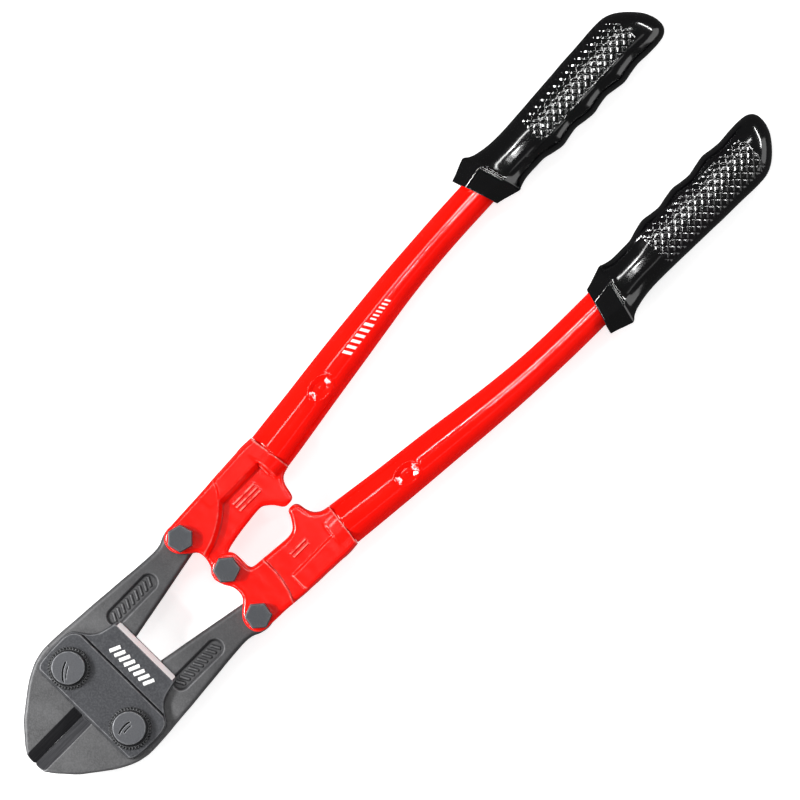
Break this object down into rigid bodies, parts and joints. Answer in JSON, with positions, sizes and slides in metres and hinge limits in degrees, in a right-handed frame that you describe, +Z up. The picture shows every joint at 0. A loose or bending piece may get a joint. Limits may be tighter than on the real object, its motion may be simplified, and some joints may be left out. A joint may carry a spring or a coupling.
{
  "type": "bolt cutters",
  "caption": "Compound-action hand bolt cutters: bevelled jaws between two straps, forked cast handle heads, tapered tube handles and knurled finger-shaped grips, jaws closed.",
  "frame": {"origin": "middle of the underside of the closed tool's bounding box, the tool lying on its back", "axes": "+Y from the jaws to the grips, +X to the right seen from above, +Z up through the thickness"},
  "size_m": [0.1126, 0.4552, 0.028],
  "materials": {
    "jaw_steel": "forged, grey heat-treated, satin",
    "strap_steel": "dark phosphated, satin",
    "bolt_steel": "blackened steel, semi-gloss",
    "red_casting": "gloss red enamel over rough casting",
    "red_tube": "gloss red enamel, smooth",
    "grip_vinyl": "glossy black dipped vinyl"
  },
  "bodies": {
    "head": {"strap_front": "strap_steel", "strap_back": "strap_steel", "jaw_bolt_left": "bolt_steel", "jaw_bolt_right": "bolt_steel", "jaw_washer_left": "bolt_steel", "jaw_washer_right": "bolt_steel", "jaw_nut_left": "bolt_steel", "jaw_nut_right": "bolt_steel"},
    "jaw_left": {"jaw_left": "jaw_steel"},
    "jaw_right": {"jaw_right": "jaw_steel"},
    "handle_left": {"handle_head_left": "red_casting", "handle_tube_left": "red_tube", "grip_left": "grip_vinyl", "tail_bolt_left": "bolt_steel", "tail_washer_left": "bolt_steel", "tail_nut_left": "bolt_steel"},
    "handle_right": {"handle_head_right": "red_casting", "handle_tube_right": "red_tube", "grip_right": "grip_vinyl", "tail_bolt_right": "bolt_steel", "tail_washer_right": "bolt_steel", "tail_nut_right": "bolt_steel", "centre_bolt": "bolt_steel", "centre_washer": "bolt_steel", "centre_nut": "bolt_steel"}
  },
  "joints": [
    {"name": "jaw_right_pivot", "type": "hinge", "parent": "head", "child": "jaw_right", "pos_m": [0.02132, -0.18457, 0.014], "axis": [0, 0, 1], "range_deg": [0, 6]},
    {"name": "jaw_left_pivot", "type": "hinge", "parent": "head", "child": "jaw_left", "pos_m": [-0.01888, -0.18457, 0.014], "axis": [0, 0, -1], "range_deg": [0, 6]},
    {"name": "handle_right_pivot", "type": "hinge", "parent": "jaw_right", "child": "handle_right", "pos_m": [0.02698, -0.10467, 0.014], "axis": [0, 0, -1], "range_deg": [0, 45.9]},
    {"name": "handle_left_pivot", "type": "hinge", "parent": "jaw_left", "child": "handle_left", "pos_m": [-0.02454, -0.10467, 0.014], "axis": [0, 0, 1], "range_deg": [0, 46]}
  ],
  "couplings": [
    {"joint": "jaw_right_pivot", "follows": "handle_right_pivot", "ratio": 0.1297},
    {"joint": "jaw_left_pivot", "follows": "handle_right_pivot", "ratio": 0.1297},
    {"joint": "handle_left_pivot", "follows": "handle_right_pivot", "ratio": 1}
  ]
}
